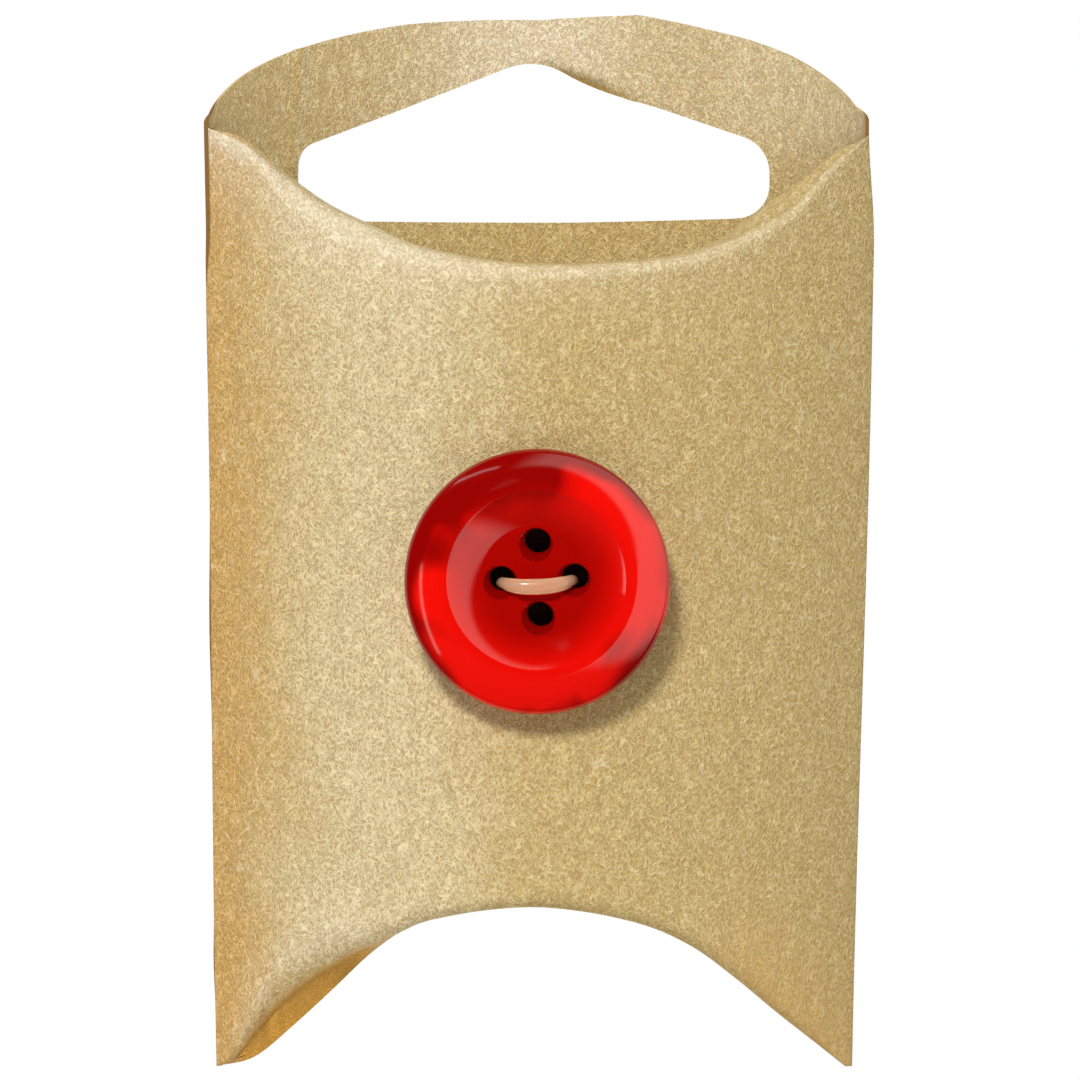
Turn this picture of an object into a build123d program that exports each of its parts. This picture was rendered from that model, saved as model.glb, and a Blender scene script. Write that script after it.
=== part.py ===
from build123d import *
import os
from math import atan2, cos, radians, sin, sqrt, tan

# A button sold on a pillow card: one folded kraft sheet with a hang tab, a button and its plastic staple.
# Origin at the hang point, mid board at the top of the hang hole; +Z up, the front faces -Y.

# Board
board = 0.5
glue_overlap = 0.05

# Pillow body, outside sizes
body_height = 85.4
top_width = 59.5
bottom_width = 56.0
top_bow = 10.0
bottom_bow = 12.5
top_dip = 13.3
bottom_rise = 16.2
crease_radius = 2.0
bend_shares = (0.586, 0.215)

# Tucked flaps
flap_clearance = 1.2
flap_inset = 1.5
layer_gap = 0.3

# Glued seam on the left
seam_gap = 0.25
lap_width = 11.0
lap_end_setback = 18.0

# Hang tab
shoulder_height = 85.1
tab_arch = 9.7
hang_margin = 4.15

# Hang hole
hole_width = 42.2
hole_height = 14.1
hole_slope = 21.5
hole_apex_radius = 9.5
hole_side_radius = 2.2
hole_corner_radius = 2.6

# Button
button_diameter = 22.9
button_back_diameter = 19.2
button_girth_height = 1.95
girth_half_height = 0.95
girth_bulge = 0.4
button_crest_diameter = 17.2
button_lip_diameter = 15.7
button_lip_height = 4.2
button_floor_diameter = 13.8
well_depth = 1.3
well_bevel = 0.5

# Sewing holes
sewing_holes = 4
sewing_spacing = 6.35
sewing_hole_diameter = 2.3
sewing_flare_diameter = 2.85
sewing_flare_angle = 82

# Button's place on the card
button_offset = -0.25
button_height = 44.5
button_turn = 2.0
seat_gap = 0.1

# Plastic staple
filament_width = 1.15
filament_depth = 0.95
filament_bevel = 0.28
loop_rise = 0.3
loop_bend_radius = 0.9
bar_width = 1.3
bar_depth = 0.9
bar_length = 6.0
bar_bevel = 0.25
bar_gap = 0.15
pierced_clearance = 0.1

# Working allowances
overrun = 1.0

# Planes the sheet is set out on
tab_top = shoulder_height + tab_arch
hang_height = tab_top - hang_margin
hang_bow = bottom_bow + (top_bow - bottom_bow) * hang_height / body_height
fold_plane = Plane(origin=(0, board / 2 - hang_bow, -hang_height))
front_view = Plane(origin=fold_plane.origin, x_dir=(1, 0, 0), z_dir=(0, -1, 0))
side_reach = max(top_width, bottom_width) / 2 + overrun
depth_reach = max(top_bow, bottom_bow) + overrun


def along_body(bottom_size, top_size, level):
    return bottom_size + (top_size - bottom_size) * level / body_height


def half_width(level):
    return along_body(bottom_width, top_width, level) / 2


def bow(level):
    return along_body(bottom_bow, top_bow, level)


def arc_radius(half_span, rise):
    return (half_span**2 + rise**2) / (2 * rise)


def panel_radius(level):
    low = arc_radius(bottom_width / 2, bottom_bow)
    high = arc_radius(top_width / 2, top_bow)
    return along_body(low, high, level)


def dipping_arc(half_span, dip, growth, reach):
    # arc that dips below the level of its ends, moved outward by growth and carried on to the reach
    radius = arc_radius(half_span, dip)
    end = radius - dip - sqrt((radius + growth) ** 2 - reach**2)
    return (-reach, end), (0, -dip - growth), (reach, end)


def panel_block(side, inset, layer, crease, margin):
    # everything behind one bowed panel, a slice of a leaning cone, closed by the vaults of its end flaps
    levels = (-bottom_width / 2 - margin, tab_top + top_width / 2 + margin)
    faces = [fold_plane.from_local_coords((0, side * bow(z), z)) for z in levels]
    centres = [fold_plane.from_local_coords((0, side * (bow(z) - panel_radius(z)), z)) for z in levels]
    lean_axis = Axis(centres[0], centres[1] - centres[0])
    away = (centres[0] - faces[0]) - lean_axis.direction * (centres[0] - faces[0]).dot(lean_axis.direction)
    section = Plane(origin=centres[0], x_dir=away, z_dir=away.cross(lean_axis.direction))
    places = [section.to_local_coords(face) for face in faces]
    low_reach = half_width(0) + overrun + margin
    high_reach = half_width(body_height) + overrun + margin
    low = dipping_arc(half_width(0), bottom_rise, inset + layer, low_reach)
    high = dipping_arc(half_width(body_height), top_dip, inset, high_reach)
    with BuildPart() as block:
        with BuildSketch(section):
            with BuildLine():
                edge = Line(*[(-place.X - inset, place.Y) for place in places])
                Polyline(edge @ 1, (0, places[1].Y), (0, places[0].Y), edge @ 0)
            make_face()
        revolve(axis=lean_axis)
        with BuildSketch(front_view.offset(-depth_reach if side < 0 else depth_reach)):
            with BuildLine():
                floor = ThreePointArc(*[(x, -y) for x, y in low])
                if side < 0:
                    roof = ThreePointArc(*[(x, y + body_height) for x, y in high])
                else:
                    roof = Line((-high_reach, tab_top + margin), (high_reach, tab_top + margin))
                Line(floor @ 0, roof @ 0)
                Line(floor @ 1, roof @ 1)
            make_face()
        extrude(amount=-2 * side * depth_reach, mode=Mode.INTERSECT)
        creases = block.edges().sort_by(Axis.Y)[:2] if side < 0 else block.edges().sort_by(Axis.Y)[-2:]
        chamfer(creases if side < 0 else creases.sort_by(Axis.Z)[:1], length=crease * bend_shares[0])
        bends = block.edges().sort_by(Axis.Y)[:4] if side < 0 else block.edges().sort_by(Axis.Y)[-3:]
        chamfer(bends if side < 0 else bends.sort_by(Axis.Z)[:2], length=crease * bend_shares[1])
    return block.part


def flap_trim(side):
    # plan of one panel and its tucked flaps, which stop short of the other panel
    with BuildPart() as trim:
        for level in (-overrun, tab_top + overrun):
            end = half_width(level) - flap_inset
            tuck = bow(level) - board - flap_clearance
            with BuildSketch(fold_plane.offset(level)):
                with BuildLine():
                    flap = ThreePointArc((-end, 0), (0, -side * tuck), (end, 0))
                    Polyline(
                        flap @ 1,
                        (side_reach, 0),
                        (side_reach, side * depth_reach),
                        (-side_reach, side * depth_reach),
                        (-side_reach, 0),
                        flap @ 0,
                    )
                make_face()
        loft(ruled=True)
    return trim.part


# Bodies that bound the sheet
inner_radius = crease_radius - board
back_layer = board + layer_gap
front_outside = panel_block(-1, 0, 0, crease_radius, 0)
front_inside = panel_block(-1, board, 0, inner_radius, board)
back_outside = panel_block(1, 0, back_layer, crease_radius, 0)
back_inside = panel_block(1, board, back_layer, inner_radius, board)
lap_outside = panel_block(1, board - glue_overlap, back_layer, inner_radius, board)
lap_inside = panel_block(1, board + board, back_layer, inner_radius, board)
front_plan = flap_trim(-1)
back_plan = flap_trim(1)

# Front panel with its top and bottom flaps
with BuildPart() as front_sheet:
    add(front_outside)
    add(front_inside, mode=Mode.SUBTRACT)
    add(front_plan, mode=Mode.INTERSECT)

# Back panel with its bottom flap and the standing hang tab
with BuildPart() as back_sheet:
    add(back_outside)
    add(back_inside, mode=Mode.SUBTRACT)
    add(back_plan, mode=Mode.INTERSECT)
    with BuildSketch(front_view):
        with BuildLine():
            arch = EllipticalCenterArc(
                (0, shoulder_height), top_width / 2, tab_arch, start_angle=0, arc_size=180
            )
            Polyline(
                arch @ 1,
                (-side_reach, shoulder_height),
                (-side_reach, -overrun),
                (side_reach, -overrun),
                (side_reach, shoulder_height),
                arch @ 0,
            )
        make_face()
    extrude(amount=2 * depth_reach, both=True, mode=Mode.INTERSECT)
    with BuildSketch(front_view) as hang_hole:
        with BuildLine():
            side = hole_width / 2
            sill = hang_height - hole_height
            peak = hang_height + hole_apex_radius * (1 / cos(radians(hole_slope)) - 1)
            eaves = peak - side * tan(radians(hole_slope))
            Polyline((-side, sill), (side, sill), (side, eaves), (0, peak), (-side, eaves), close=True)
        make_face()
        fillet(hang_hole.vertices().group_by(Axis.Y)[1], radius=hole_side_radius)
        fillet(hang_hole.vertices().group_by(Axis.Y)[-1], radius=hole_apex_radius)
        fillet(hang_hole.vertices().group_by(Axis.Y)[0], radius=hole_corner_radius)
    extrude(amount=-depth_reach, mode=Mode.SUBTRACT)

# Glue lap behind the left seam
with BuildPart() as lap:
    add(lap_outside)
    add(lap_inside, mode=Mode.SUBTRACT)
    with BuildSketch(fold_plane.offset(lap_end_setback)):
        with Locations((-half_width(0), 0)):
            Rectangle(lap_width + lap_width, depth_reach + depth_reach)
    extrude(amount=body_height - 2 * lap_end_setback, mode=Mode.INTERSECT)
    add(front_outside, mode=Mode.INTERSECT)

# Seat of the button on the crest of the front panel
lean = atan2(bottom_bow - top_bow, body_height)
turn = radians(button_turn)
crest = fold_plane.from_local_coords((button_offset, -bow(button_height) - seat_gap, button_height))
button_seat = Plane(origin=crest, x_dir=(cos(turn), 0, sin(turn)), z_dir=(0, -cos(lean), sin(lean)))
button_section = Plane(origin=crest, x_dir=button_seat.x_dir, z_dir=-button_seat.y_dir)
well_floor = button_lip_height - well_depth

# Where the staple's legs meet the bowed panel
leg_reach = sewing_spacing / 2 + abs(button_offset)
leg_fall = panel_radius(button_height) - sqrt(panel_radius(button_height) ** 2 - leg_reach**2)
bar_place = seat_gap + leg_fall + board + bar_gap + bar_depth / 2

# Card: one folded and glued sheet
with BuildPart() as card:
    add(front_sheet.part)
    add(back_sheet.part)
    with BuildSketch(fold_plane.offset(-overrun)):
        with Locations((-half_width(0), seam_gap / 2)):
            Rectangle(2 * flap_inset, seam_gap)
    extrude(amount=tab_top + 2 * overrun, mode=Mode.SUBTRACT)
    add(lap.part)
    with BuildSketch(button_seat):
        with GridLocations(sewing_spacing, 0, 2, 1):
            Circle(filament_width / 2 + pierced_clearance)
    extrude(amount=-bar_place, mode=Mode.SUBTRACT)

# Button: a rounded rim round a shallow well
with BuildPart(button_seat.offset(well_floor)) as button:
    with BuildSketch(button_section):
        with BuildLine():
            waist = button_diameter / 2 - girth_bulge
            girth = ThreePointArc(
                (waist, button_girth_height - girth_half_height),
                (button_diameter / 2, button_girth_height),
                (waist, button_girth_height + girth_half_height),
            )
            Polyline(
                girth @ 1,
                (button_crest_diameter / 2, button_lip_height),
                (button_lip_diameter / 2, button_lip_height),
                (button_floor_diameter / 2 + well_bevel, well_floor + well_bevel),
                (button_floor_diameter / 2 - well_bevel, well_floor),
                (0, well_floor),
                (0, 0),
                (button_back_diameter / 2, 0),
                girth @ 0,
            )
        make_face()
    revolve(axis=Axis(crest, button_seat.z_dir))
    with PolarLocations(sewing_spacing / 2, sewing_holes):
        CounterSinkHole(
            sewing_hole_diameter / 2,
            sewing_flare_diameter / 2,
            depth=well_floor + overrun,
            counter_sink_angle=sewing_flare_angle,
        )

# Plastic staple: a loop over the button with a cross bar on each leg
with BuildPart(button_seat.offset(-bar_place)) as fastener:
    loop_height = well_floor + loop_rise + filament_depth / 2
    with BuildLine(button_section) as loop:
        FilletPolyline(
            (-sewing_spacing / 2, -bar_place),
            (-sewing_spacing / 2, loop_height),
            (sewing_spacing / 2, loop_height),
            (sewing_spacing / 2, -bar_place),
            radius=loop_bend_radius,
        )
    with BuildSketch(Plane(origin=loop.line @ 0, x_dir=button_seat.x_dir, z_dir=loop.line % 0)) as strand:
        Rectangle(filament_depth, filament_width)
        chamfer(strand.vertices(), length=filament_bevel)
    sweep(path=loop.line)
    with GridLocations(sewing_spacing, 0, 2, 1):
        Box(bar_width, bar_length, bar_depth)
    chamfer(fastener.faces().sort_by(Axis.Y)[-2:].edges(), length=bar_bevel)

# Nodes
os.makedirs("parts", exist_ok=True)
for name, node in (("card", card), ("button", button), ("fastener", fastener)):
    node.part.label = name
    export_step(node.part, f"parts/{name}.step")
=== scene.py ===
"""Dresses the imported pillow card, its button and its plastic staple for the studio picture."""

import logging
import math
from dataclasses import dataclass
from enum import Enum

import bmesh
import bpy
import numpy as np
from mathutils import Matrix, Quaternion, Vector


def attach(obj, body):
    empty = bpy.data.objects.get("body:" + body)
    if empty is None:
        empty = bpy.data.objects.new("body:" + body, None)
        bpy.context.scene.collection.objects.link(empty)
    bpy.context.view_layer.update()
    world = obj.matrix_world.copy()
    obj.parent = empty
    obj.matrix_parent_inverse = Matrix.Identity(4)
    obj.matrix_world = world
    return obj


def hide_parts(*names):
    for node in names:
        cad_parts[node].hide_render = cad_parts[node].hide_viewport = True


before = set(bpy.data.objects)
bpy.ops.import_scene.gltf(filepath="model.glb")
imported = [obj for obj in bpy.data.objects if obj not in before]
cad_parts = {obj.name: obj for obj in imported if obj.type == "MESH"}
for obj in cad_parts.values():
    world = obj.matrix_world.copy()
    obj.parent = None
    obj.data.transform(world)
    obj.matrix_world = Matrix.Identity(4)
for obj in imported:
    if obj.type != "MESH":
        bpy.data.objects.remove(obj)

log = logging.getLogger("pillow_card")

MM = 0.001  # metres in a millimetre
SOFT = "SMOOTHSTEP"  # a ramp with level ends


class Side(Enum):
    """The two panels of the folded sheet, with the way each one bows."""

    FRONT = -1
    BACK = 1


class Finish(Enum):
    """Material slots of a piece: its outer face, and where it was cut or drilled."""

    OUTER = 0
    WORKED = 1


def linear(code: str) -> tuple[float, float, float, float]:
    """Turns an sRGB hex colour into linear red, green, blue and alpha.

    Args:
        code: six hex digits.

    Returns:
        The colour as Blender's sockets take it.
    """
    parts = [int(code[i:i + 2], 16) / 255 for i in (0, 2, 4)]
    light = [c / 12.92 if c <= 0.04045 else ((c + 0.055) / 1.055) ** 2.4 for c in parts]
    return (light[0], light[1], light[2], 1.0)


def add_node(
    tree: bpy.types.NodeTree, kind: str, inputs: dict | None = None, out: int | str = 0, **settings: object
) -> bpy.types.NodeSocket:
    """Adds one shader node with its settings, links and constant values.

    Args:
        tree: the tree that gets the node.
        kind: the node's type name, less its common prefix.
        inputs: by input socket, the output socket that feeds it or its constant value.
        out: which output is wanted.
        settings: properties of the node.

    Returns:
        The wanted output.
    """
    made = tree.nodes.new("ShaderNode" + kind)
    for name, value in settings.items():
        setattr(made, name, value)
    for socket, value in (inputs or {}).items():
        if isinstance(value, bpy.types.NodeSocket):
            tree.links.new(value, made.inputs[socket])
        else:
            made.inputs[socket].default_value = value
    return made.outputs[out]


def new_material(name: str, values: dict) -> tuple[bpy.types.Material, bpy.types.NodeTree, bpy.types.Node]:
    """Makes a material with one principled shader.

    Args:
        name: the material's name.
        values: constant values by input of the shader.

    Returns:
        The material, its tree and its shader node.
    """
    material = bpy.data.materials.new(name)
    material.use_nodes = True
    shader = material.node_tree.nodes["Principled BSDF"]
    for socket, value in values.items():
        shader.inputs[socket].default_value = value
    return material, material.node_tree, shader


def layered(
    tree: bpy.types.NodeTree, body: bpy.types.NodeSocket, layers: list[tuple[str, bpy.types.NodeSocket]]
) -> bpy.types.NodeSocket:
    """Lays colours over a body colour in order, each as far as its share says.

    Args:
        tree: the material's tree.
        body: the colour beneath.
        layers: hex colours with their shares.

    Returns:
        The colour on top.
    """
    for colour, share in layers:
        body = add_node(tree, "Mix", {0: share, 6: body, 7: linear(colour)}, 2, data_type="RGBA")
    return body


def spline(places: np.ndarray, knots: np.ndarray, heights: np.ndarray) -> np.ndarray:
    """Draws a smooth line through ordinates: cubic pieces whose slopes are the mean of their neighbours'.

    Args:
        places: where the line is wanted.
        knots: rising places of the ordinates.
        heights: the ordinates.

    Returns:
        The line's heights.
    """
    slopes = np.gradient(heights, knots)
    left = np.clip(np.searchsorted(knots, places) - 1, 0, len(knots) - 2)
    span = knots[left + 1] - knots[left]
    t = np.clip((places - knots[left]) / span, 0, 1)
    return (
        (1 + 2 * t) * (1 - t) ** 2 * heights[left]
        + t * (1 - t) ** 2 * span * slopes[left]
        + t**2 * (3 - 2 * t) * heights[left + 1]
        + t**2 * (t - 1) * span * slopes[left + 1]
    )


def along_outline(corners: np.ndarray, count: int) -> np.ndarray:
    """Spaces points evenly along a closed outline of straight runs.

    Args:
        corners: the outline's corners in order.
        count: how many points are wanted.

    Returns:
        The points.
    """
    ring = np.concatenate([corners, corners[:1]])
    run = np.concatenate([[0], np.cumsum(np.linalg.norm(np.diff(ring, axis=0), axis=1))])
    wanted = np.linspace(0, run[-1], count, endpoint=False)
    return np.stack([np.interp(wanted, run, ring[:, i]) for i in (0, 1)], axis=-1)


def bearing_of(points: np.ndarray) -> np.ndarray:
    """Angles of flat points round the origin."""
    return np.arctan2(points[:, 1], points[:, 0])


def ray_of(angle: np.ndarray | float) -> np.ndarray:
    """Flat directions at the angles."""
    return np.stack([np.cos(angle), np.sin(angle)], axis=-1)


@dataclass(frozen=True)
class Ramp:
    """A change that rises smoothly from 0 at its start to its height at its end, with level ends."""

    height: float
    start: float
    end: float

    def at(self, value: np.ndarray) -> np.ndarray:
        """The height times 3 t squared less 2 t cubed, where t runs from start to end."""
        t = np.clip((value - self.start) / (self.end - self.start), 0, 1)
        return self.height * t * t * (3 - 2 * t)


@dataclass(frozen=True)
class Bell:
    """A change that fades both ways from its middle."""

    height: float
    middle: float
    width: float | np.ndarray

    def at(self, value: np.ndarray) -> np.ndarray:
        """The height times exp of minus the squared distance over the width."""
        return self.height * np.exp(-(((value - self.middle) / self.width) ** 2))


@dataclass
class Patch:
    """A grid of points in millimetres with what the finish reads from it.

    The points are rows by columns by three. The sheet coordinates are millimetres on the flat sheet. The wear value
    says how far a crease has rubbed the fibres pale, and carries painted highlights above zero and painted shade below
    zero.
    """

    points: np.ndarray
    sheet: np.ndarray
    wear_and_painted_light: np.ndarray
    flipped: bool = False
    closed: bool = False

    def faces(self, start: int) -> np.ndarray:
        """Joins each point to the next in its row and column.

        Args:
            start: index of the patch's first point in the mesh.

        Returns:
            Quads as an array of four indices each.
        """
        rows, columns = self.points.shape[:2]
        index = np.arange(rows * columns).reshape(rows, columns) + start
        if self.closed:
            index = np.concatenate([index, index[:, :1]], axis=1)
        quads = np.stack([index[:-1, :-1], index[:-1, 1:], index[1:, 1:], index[1:, :-1]], axis=-1).reshape(-1, 4)
        return quads[:, ::-1] if self.flipped else quads


def mesh_of(name: str, patches: list[Patch], merge: float) -> bpy.types.Object:
    """Puts patches into one mesh object and welds the points that coincide.

    Args:
        name: the object's name.
        patches: the grids.
        merge: points nearer than this are one, in metres.

    Returns:
        The object, at the origin.
    """
    starts = np.cumsum([0] + [patch.wear_and_painted_light.size for patch in patches])
    points = np.concatenate([patch.points.reshape(-1, 3) for patch in patches]) * MM
    quads = np.concatenate([patch.faces(int(start)) for patch, start in zip(patches, starts)])
    sheet = np.concatenate([patch.sheet.reshape(-1, 2) for patch in patches])
    wear_and_painted_light = np.concatenate([patch.wear_and_painted_light.reshape(-1) for patch in patches])
    mesh = bpy.data.meshes.new(name)
    mesh.vertices.add(len(points))
    mesh.vertices.foreach_set("co", points.astype(np.float32).ravel())
    mesh.loops.add(quads.size)
    mesh.loops.foreach_set("vertex_index", quads.astype(np.int32).ravel())
    mesh.polygons.add(len(quads))
    mesh.polygons.foreach_set("loop_start", np.arange(0, quads.size, 4, dtype=np.int32))
    mesh.update(calc_edges=True)
    mesh.uv_layers.new(name="sheet").data.foreach_set("uv", sheet[quads.ravel()].astype(np.float32).ravel())
    # The wear attribute holds real rubbing together with painted highlights and painted shade.
    mesh.attributes.new("wear_and_painted_light", "FLOAT", "POINT").data.foreach_set("value", wear_and_painted_light.astype(np.float32))
    form = bmesh.new()
    form.from_mesh(mesh)
    bmesh.ops.remove_doubles(form, verts=form.verts, dist=merge)
    bmesh.ops.dissolve_degenerate(form, edges=form.edges, dist=merge)
    form.to_mesh(mesh)
    form.free()
    mesh.validate()
    mesh.polygons.foreach_set("use_smooth", np.ones(len(mesh.polygons), dtype=bool))
    piece = bpy.data.objects.new(name, mesh)
    bpy.context.scene.collection.objects.link(piece)
    return piece


def thicken(piece: bpy.types.Object, thickness: float, rim: int) -> None:
    """Gives a sheet its board thickness inward and keeps the result in its mesh.

    Args:
        piece: the sheet, faces outward.
        thickness: the board, in metres.
        rim: material slot of the cut edges.
    """
    solid = piece.modifiers.new("board", "SOLIDIFY")
    solid.thickness = thickness
    solid.offset = -1
    solid.use_rim = True
    solid.material_offset_rim = rim
    depsgraph = bpy.context.evaluated_depsgraph_get()
    made = bpy.data.meshes.new_from_object(piece.evaluated_get(depsgraph))
    piece.modifiers.clear()
    flat = piece.data
    piece.data = made
    bpy.data.meshes.remove(flat)
    made.set_sharp_from_angle(angle=math.radians(55))


@dataclass(frozen=True)
class KraftBoard:
    """Unbleached kraft board, calendered: matt brown felt of paler and darker fibres, toned amber along a fold, with
    painted highlights and painted shade laid over it.

    Lengths are millimetres on the flat sheet. A real fibre is about 0.03 mm wide: these are drawn a few times
    coarser, so that they show.
    """

    name: str = "kraft_board_calendered"
    pulp: str = "D1BD87"
    pale_fibre: str = "F3E8CC"
    dark_fibre: str = "9A7636"
    # The warm pulp tints the amber fold and is also the painted warm shade. The worn fibre is rubbed fibre and painted
    # highlight. The deep tan is painted deeper shade.
    amber_pulp_and_shade: str = "DCB06A"
    # Painted light: the paler pulp of a band on the lit left of the front.
    lit_pulp: str = "E2D5AD"
    worn_and_lit_fibre: str = "F4EBD6"
    deep_shade_tone: str = "BC8A2C"
    speck: str = "5E451F"
    shade: str = "2A0B06"
    lays: tuple[tuple[float, float], ...] = ((-0.5, 0.0), (0.08, 31.0), (0.62, 67.0))
    sway: tuple[float, float, float] = (1.2, 1.2, 0.0)
    pale_reach: float = 4.4
    dark_reach: float = -4.6
    fibre_spacing: float = 0.23
    fibre_length: float = 0.54
    fibre_height: float = 0.022
    hair_spacing: float = 2.6
    hair_cloud: float = 2.38
    drift_spacing: float = 2.0
    cloud_spacing: float = 11.11
    speck_spacing: float = 5.0
    speck_radius: float = 0.05
    cloud_shift: float = 16.0
    amber_span: tuple[float, float] = (-11.0, -27.0)
    rise_span: tuple[float, float] = (-24.0, -7.0)
    fall_span: tuple[float, float] = (9.0, -4.0)
    button_place: tuple[float, float, float] = (-0.25, 44.5, 0.0)
    button_span: tuple[float, float] = (8.5, 6.5)

    def build(self) -> bpy.types.Material:
        """Draws the fibres in sheet millimetres, three lays of them crossing at small angles.

        Returns:
            The material.
        """
        material, tree, shader = new_material(self.name, {"Roughness": 0.86, "Specular IOR Level": 0.25})
        sheet = add_node(tree, "UVMap", uv_map="sheet")
        drift = add_node(tree, "TexNoise", {"Vector": sheet, "Scale": 1 / self.drift_spacing, "Detail": 2.0}, "Color")
        sway = add_node(tree, "VectorMath", {0: drift, 1: self.sway, 2: sheet}, operation="MULTIPLY_ADD")
        felt, *others = [self.fibres(tree, sway, turn, seed) for turn, seed in self.lays]
        for lay in others:
            felt = add_node(tree, "Math", {0: felt, 1: lay}, operation="ADD")
        pale = add_node(tree, "MapRange", {"Value": felt, "From Max": self.pale_reach})
        dark = add_node(tree, "MapRange", {"Value": felt, "From Max": self.dark_reach})
        # Specks of bark: a cell in four or so has one, and it is drawn as wide as it needs to show.
        spots = add_node(tree, "TexVoronoi", {"Vector": sway, "Scale": 1 / self.speck_spacing}, "Distance")
        chosen = add_node(tree, "SeparateXYZ", {0: spots.node.outputs["Color"]})
        size = add_node(tree, "MapRange", {"Value": chosen, "From Min": 0.72, "To Max": self.speck_radius})
        inside = add_node(tree, "Math", {0: spots, 1: size}, operation="LESS_THAN")
        # Wear above zero rubs the fibres' tops pale and paints highlights. Below zero it paints a warm shade, and
        # further below a deeper brown shade.
        wear_and_painted_light = add_node(tree, "Attribute", out="Fac", attribute_name="wear_and_painted_light")
        warm_shade = add_node(tree, "Math", {0: wear_and_painted_light, 1: -1.0}, operation="MULTIPLY", use_clamp=True)
        deep_shade = add_node(tree, "MapRange", {"Value": wear_and_painted_light, "From Min": -0.5, "From Max": -1.5})
        fray = {"Value": felt, "From Min": -1.5, "From Max": 1.5, "To Min": 0.35, "To Max": 1.1}
        rubbed_and_lit = add_node(
            tree, "Math", {0: wear_and_painted_light, 1: add_node(tree, "MapRange", fray)}, operation="MULTIPLY", use_clamp=True
        )
        # No light reaches the board behind the sewing holes.
        away = add_node(tree, "VectorMath", {0: sheet, 1: self.button_place}, "Value", operation="DISTANCE")
        start, end = self.button_span
        unlit = {"Value": away, "From Min": start, "From Max": end, "To Max": 0.94}
        body = layered(tree, self.toned(tree, sheet), [
            (self.pale_fibre, pale),
            (self.dark_fibre, dark),
            (self.pale_fibre, self.hairs(tree, sway)),
            (self.amber_pulp_and_shade, warm_shade),
            (self.deep_shade_tone, deep_shade),
            (self.speck, inside),
            (self.worn_and_lit_fibre, rubbed_and_lit),
            (self.shade, add_node(tree, "MapRange", unlit, interpolation_type=SOFT)),
        ])
        grain = add_node(tree, "Bump", {"Height": felt, "Strength": 0.85, "Distance": self.fibre_height * MM})
        tree.links.new(body, shader.inputs["Base Color"])
        tree.links.new(grain, shader.inputs["Normal"])
        return material

    def toned(self, tree: bpy.types.NodeTree, sheet: bpy.types.NodeSocket) -> bpy.types.NodeSocket:
        """Colour of the pulp before its fibres: amber along the left fold, a paler band of painted light beside it,
        soft clouds.

        Args:
            tree: the material's tree.
            sheet: sheet coordinates in millimetres.

        Returns:
            The pulp's colour.
        """
        across = add_node(tree, "SeparateXYZ", {0: sheet})
        mottle = {"Vector": sheet, "Scale": 1 / self.cloud_spacing, "Detail": 5.0, "Roughness": 0.62}
        cloud = add_node(tree, "TexNoise", mottle)
        shifted = add_node(tree, "Math", {0: cloud, 1: self.cloud_shift, 2: across}, operation="MULTIPLY_ADD")
        amber, rise, fall = [
            add_node(
                tree, "MapRange", {"Value": shifted, "From Min": start, "From Max": end, "To Max": most},
                interpolation_type=SOFT,
            )
            for (start, end), most in ((self.amber_span, 0.9), (self.rise_span, 1.0), (self.fall_span, 1.0))
        ]
        # Painted light: a paler band left of the front's middle.
        lit_band = add_node(tree, "Math", {0: rise, 1: fall}, operation="MULTIPLY")
        body = add_node(tree, "RGB")
        body.default_value = linear(self.pulp)
        return layered(tree, body, [(self.lit_pulp, lit_band), (self.amber_pulp_and_shade, amber)])

    def hairs(self, tree: bpy.types.NodeTree, sheet: bpy.types.NodeSocket) -> bpy.types.NodeSocket:
        """Draws sparse long pale fibres: thin lines where broad noise crosses its mean, kept where a cloud is high.

        Args:
            tree: the material's tree.
            sheet: sheet coordinates in millimetres.

        Returns:
            How far each place is such a fibre.
        """
        stretch = (1 / self.hair_spacing, 0.6 / self.hair_spacing, 1.0)
        drawn = add_node(tree, "VectorMath", {0: sheet, 1: stretch}, operation="MULTIPLY")
        noise = add_node(tree, "TexNoise", {"Vector": drawn, "Scale": 1.0, "Detail": 1.0})
        off = add_node(tree, "Math", {0: noise, 1: 0.5}, operation="SUBTRACT")
        off = add_node(tree, "Math", {0: off}, operation="ABSOLUTE")
        edge = {"Value": off, "From Min": 0.004, "From Max": 0.014, "To Min": 0.38, "To Max": 0.0}
        cloud = add_node(tree, "TexNoise", {"Vector": sheet, "Scale": 1 / self.hair_cloud, "Detail": 0.0})
        kept = add_node(tree, "MapRange", {"Value": cloud, "From Min": 0.62, "From Max": 0.68})
        return add_node(tree, "Math", {0: add_node(tree, "MapRange", edge), 1: kept}, operation="MULTIPLY")

    def fibres(
        self, tree: bpy.types.NodeTree, sheet: bpy.types.NodeSocket, turn: float, seed: float
    ) -> bpy.types.NodeSocket:
        """Draws one lay of fibres: the lines along which drawn-out noise crosses its mean, 1 on them and -1 between.

        Args:
            tree: the material's tree.
            sheet: sheet coordinates in millimetres.
            turn: the lay's angle from the sheet's height, in radians.
            seed: offset that sets this lay apart.

        Returns:
            The lay's height.
        """
        turned = add_node(tree, "VectorRotate", {"Vector": sheet, "Angle": turn}, rotation_type="Z_AXIS")
        stretch = (1 / self.fibre_spacing, 1 / self.fibre_length, 1.0)
        drawn = add_node(tree, "VectorMath", {0: turned, 1: stretch, 2: (seed,) * 3}, operation="MULTIPLY_ADD")
        noise = add_node(tree, "TexNoise", {"Vector": drawn, "Scale": 1.0, "Detail": 0.0})
        off = add_node(tree, "Math", {0: noise, 1: 0.5}, operation="SUBTRACT")
        off = add_node(tree, "Math", {0: off}, operation="ABSOLUTE")
        return add_node(tree, "MapRange", {"Value": off, "From Max": 0.13, "To Min": 1.0, "To Max": -1.0})


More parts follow.
